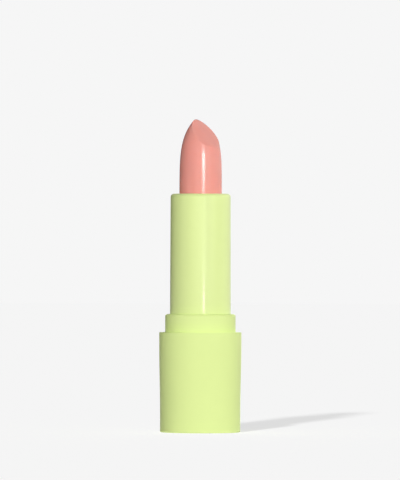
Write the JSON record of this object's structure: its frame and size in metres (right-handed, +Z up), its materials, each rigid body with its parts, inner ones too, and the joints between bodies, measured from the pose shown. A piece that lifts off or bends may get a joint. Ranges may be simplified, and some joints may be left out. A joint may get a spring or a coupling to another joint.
{
  "type": "lipstick",
  "caption": "Twist-up lipstick without its cap: round base and collar, thin sleeve over a spiral cam, and a slant-cut bullet in a lugged cup.",
  "frame": {"origin": "middle of the foot, on the surface that the lipstick stands on", "axes": "+Z up the twist axis towards the bullet's tip, +X to the right in the picture, -Y towards the camera"},
  "size_m": [0.0234, 0.0234, 0.0891],
  "materials": {
    "base_shell": "satin",
    "base_weight": "satin",
    "collar_insert": "satin",
    "inner_body": "satin",
    "brake_ring": "matte",
    "cam_sleeve": "satin",
    "outer_sleeve": "satin",
    "carrier_cup": "satin",
    "bullet": "gloss"
  },
  "bodies": {
    "base": {"base_shell": "base_shell", "base_weight": "base_weight", "collar_insert": "collar_insert", "inner_body": "inner_body", "brake_ring": "brake_ring"},
    "barrel": {"outer_sleeve": "outer_sleeve", "cam_sleeve": "cam_sleeve"},
    "carrier": {"carrier_cup": "carrier_cup", "bullet": "bullet"}
  },
  "joints": [
    {"name": "twist", "type": "hinge", "parent": "base", "child": "barrel", "pos_m": [0, 0, 0.0265], "axis": [0, 0, 1], "range_deg": [0, 480]},
    {"name": "lift", "type": "slide", "parent": "base", "child": "carrier", "axis": [0, 0, 1], "range_m": [-0.024, 0]}
  ],
  "couplings": [
    {"joint": "lift", "follows": "twist", "m_per_rad": -0.0028648}
  ]
}
